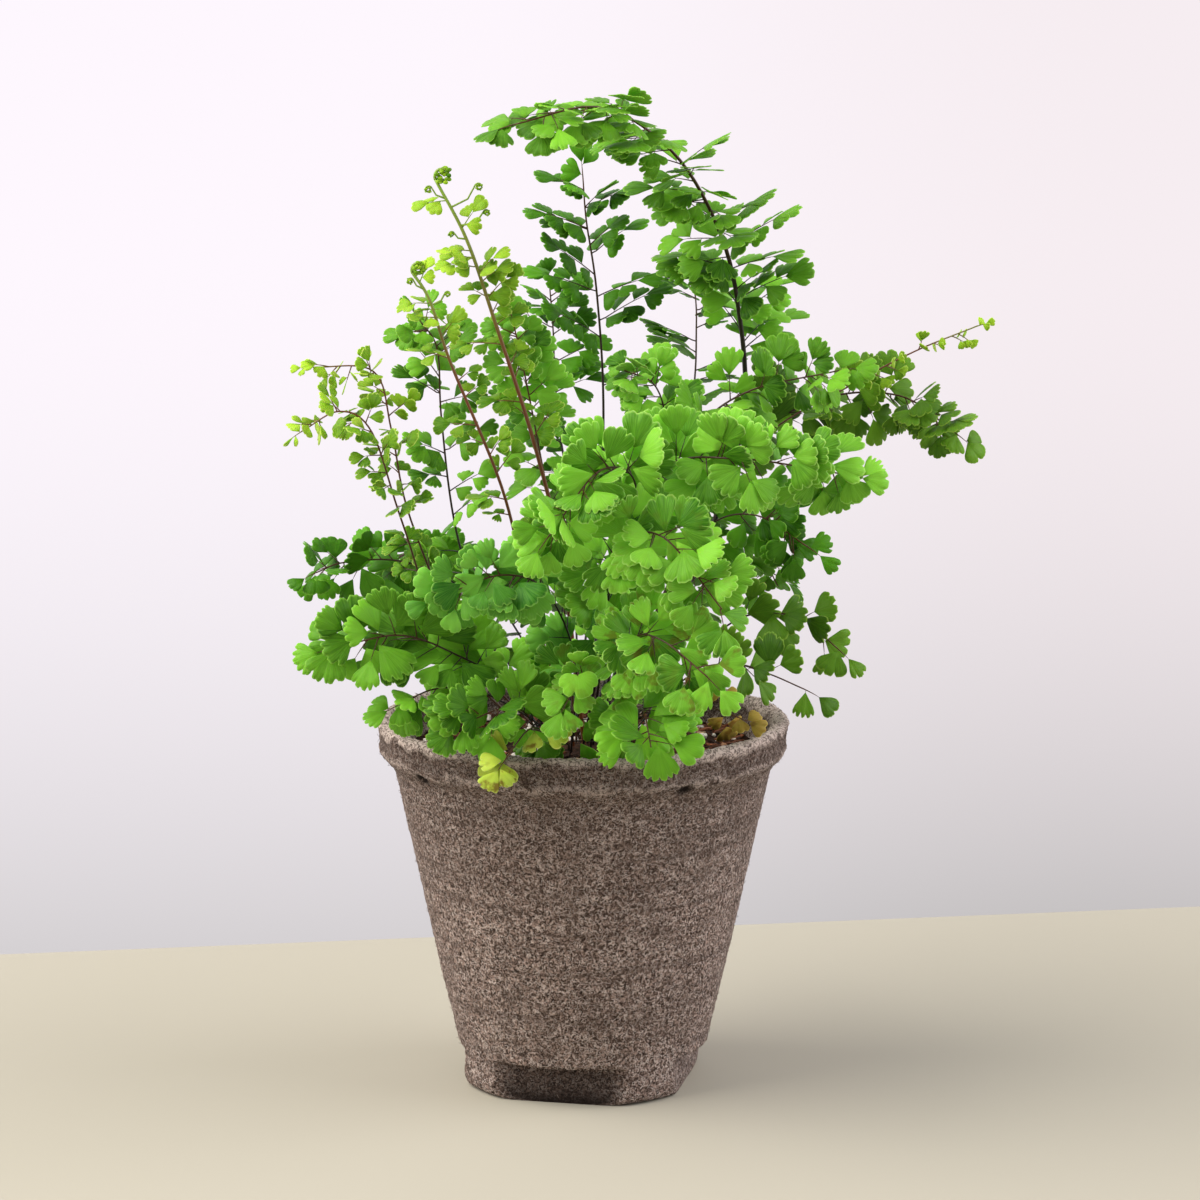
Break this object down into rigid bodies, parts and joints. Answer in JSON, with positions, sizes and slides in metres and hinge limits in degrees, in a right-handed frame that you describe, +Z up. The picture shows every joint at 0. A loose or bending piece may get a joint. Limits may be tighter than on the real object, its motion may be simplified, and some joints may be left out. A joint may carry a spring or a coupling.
{
  "type": "potted maidenhair fern",
  "caption": "Bushy maidenhair fern with arching dark-stemmed fronds of small fan-shaped leaflets, growing in compost in a round tapered peat-fibre pot.",
  "frame": {"origin": "centre of the pot's underside, on the surface that it stands on", "axes": "+Z up, -Y towards the viewer of the picture, +X to the viewer's right"},
  "size_m": [0.2048, 0.1863, 0.2907],
  "materials": {
    "peat_fibre": "matte felted peat and wood fibre",
    "compost": "rough bark and perlite",
    "leaf_mid": "fern leaf, mid green",
    "leaf_dark": "fern leaf, dark green",
    "leaf_bright": "fern leaf, bright green",
    "leaf_pale": "young fern leaf, pale green",
    "leaf_blue": "fern leaf, bluish green",
    "leaf_yellow": "ageing fern leaf, yellow with brown spots",
    "leaf_brown": "dying fern leaf, olive brown"
  },
  "bodies": {
    "root": {"pot": "peat_fibre", "soil": "compost", "tall_arch": "leaf_mid", "front_main": "leaf_bright", "front_main_left": "leaf_bright", "front_mid": "leaf_bright", "front_lower": "leaf_bright", "left_low": "leaf_mid", "left_mid": "leaf_dark", "right_far": "leaf_dark", "back_centre": "leaf_dark", "crozier_tall": "leaf_pale", "crozier_left": "leaf_pale", "right_slender": "leaf_pale", "far_left_high": "leaf_pale", "far_left_low": "leaf_pale", "left_dark": "leaf_mid", "right_upper": "leaf_mid", "right_dark": "leaf_dark", "right_mid": "leaf_dark", "right_low": "leaf_dark", "centre_left": "leaf_blue", "centre_bright": "leaf_bright", "upper_bright": "leaf_bright", "front_left": "leaf_mid", "left_rim": "leaf_mid", "front_right": "leaf_mid", "yellow_front": "leaf_yellow", "heart_front": "leaf_bright", "brown_right": "leaf_brown", "back_left": "leaf_dark", "back_right": "leaf_dark", "back_mid": "leaf_dark", "back_low_left": "leaf_dark", "back_low_right": "leaf_dark"}
  },
  "joints": []
}
